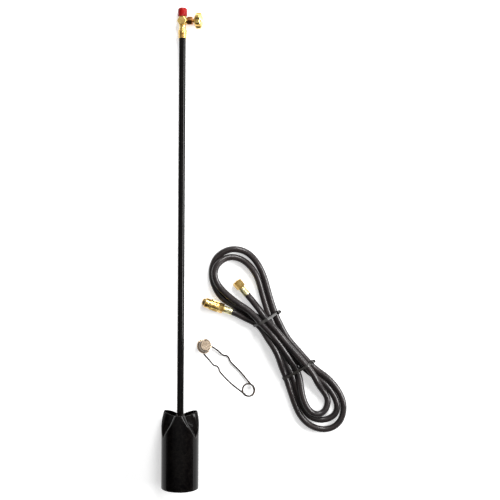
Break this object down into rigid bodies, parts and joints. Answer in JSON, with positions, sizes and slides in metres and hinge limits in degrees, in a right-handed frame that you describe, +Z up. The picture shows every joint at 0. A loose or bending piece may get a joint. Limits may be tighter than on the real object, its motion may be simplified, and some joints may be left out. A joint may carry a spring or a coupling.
{
  "type": "propane torch",
  "caption": "Long-handled gas torch laid flat: crimped steel bell, pipe wand, brass needle valve and capped inlet, with its tied hose and a flint striker.",
  "frame": {"origin": "on the surface that the kit lies on, under the middle of the box of the torch and striker", "axes": "+Y along the wand from the bell to the valve, +X towards the hose and striker, +Z up"},
  "size_m": [0.377, 0.9622, 0.08],
  "materials": {
    "enamel": "gloss black stove enamel",
    "weld": "painted weld bead",
    "brass": "bright turned brass",
    "zinc": "pale yellow zinc plate",
    "steel": "plated steel",
    "spring_wire": "drawn spring wire",
    "striker_steel": "nickel-plated pressed steel",
    "red_plastic": "soft red plastic",
    "seal": "black rubber",
    "hose": "extruded rubber hose",
    "nylon": "dark nylon",
    "file": "cut hardened steel and flint"
  },
  "bodies": {
    "root": {"bell": "enamel", "bell_weld_1": "weld", "bell_weld_2": "weld", "bell_weld_3": "weld", "wand_tube": "enamel", "jet_holder": "brass", "jet_orifice": "brass", "wand_coupling": "brass", "valve_body": "brass", "inlet_screen": "steel", "packing_nut": "brass", "stem_packing": "seal", "hose_hank": "hose", "hose_run": "hose", "flare_ferrule": "zinc", "flare_nipple": "brass", "pol_ferrule": "zinc", "pol_nipple": "brass", "pol_nose_ring": "seal", "tie_upper": "nylon", "tie_lower": "nylon", "striker_cup_arm": "spring_wire", "striker_cup": "striker_steel", "striker_file": "file"},
    "valve_handle": {"valve_stem": "brass", "valve_knob": "brass", "knob_screw": "steel"},
    "inlet_cap": {"inlet_cap": "red_plastic"},
    "flare_nut": {"flare_nut": "brass"},
    "pol_nut": {"pol_nut": "brass"},
    "flint_arm": {"striker_flint_arm": "spring_wire", "flint_holder": "brass", "striker_flint": "file"}
  },
  "joints": [
    {"name": "valve_turn", "type": "hinge", "parent": "root", "child": "valve_handle", "pos_m": [-0.05654, 0.45503, 0.01018], "axis": [0.987, 0.0055, 0.1604], "range_deg": [0, 720]},
    {"name": "cap_pull", "type": "slide", "parent": "root", "child": "inlet_cap", "axis": [0, 0.9994, -0.034], "range_m": [0, 0.018]},
    {"name": "flare_nut_spin", "type": "hinge", "parent": "root", "child": "flare_nut", "pos_m": [0.07589, -0.08844, 0.0085], "axis": [-0.6402, 0.7682, 0], "continuous": true},
    {"name": "pol_nut_spin", "type": "hinge", "parent": "root", "child": "pol_nut", "pos_m": [0.04567, -0.12369, 0.011], "axis": [-0.945, 0.327, 0], "continuous": true},
    {"name": "striker_squeeze", "type": "hinge", "parent": "root", "child": "flint_arm", "pos_m": [0.07976, -0.28479, 0.00873], "axis": [0.2936, 0.2815, 0.9135], "range_deg": [0, 6], "stiffness_Nm_per_rad": 0.8}
  ]
}
